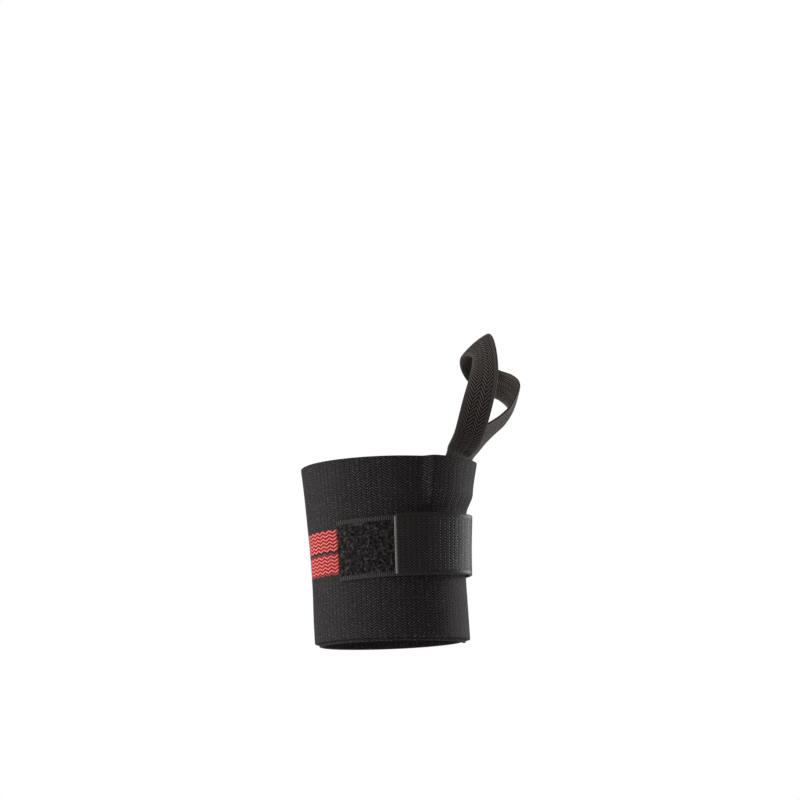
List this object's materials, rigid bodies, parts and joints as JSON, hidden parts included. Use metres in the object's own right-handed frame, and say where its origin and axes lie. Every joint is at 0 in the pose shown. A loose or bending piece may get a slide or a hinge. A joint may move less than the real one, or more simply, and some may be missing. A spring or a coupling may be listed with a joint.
{
  "type": "wrist wrap",
  "caption": "Elastic wrist wrap wound round a wrist, with a thumb loop and a hook-and-loop closure strap.",
  "frame": {"origin": "middle of the hollow that the wrist fills, halfway between the two edges of the band", "axes": "+Z along the arm towards the fingers, -Y out of the back of the hand, +X towards the thumb"},
  "size_m": [0.0978, 0.0537, 0.1369],
  "materials": {
    "wrap_band": "woven elastic with two red stripes",
    "thumb_loop": "narrow woven elastic",
    "closure_strap": "herringbone webbing with a slight sheen",
    "hook_tape": "grey moulded hooks",
    "loop_patch": "brushed loop pile"
  },
  "bodies": {
    "root": {"wrap_band": "wrap_band", "thumb_loop": "thumb_loop", "closure_strap": "closure_strap", "hook_tape": "hook_tape", "loop_patch": "loop_patch"}
  },
  "joints": []
}
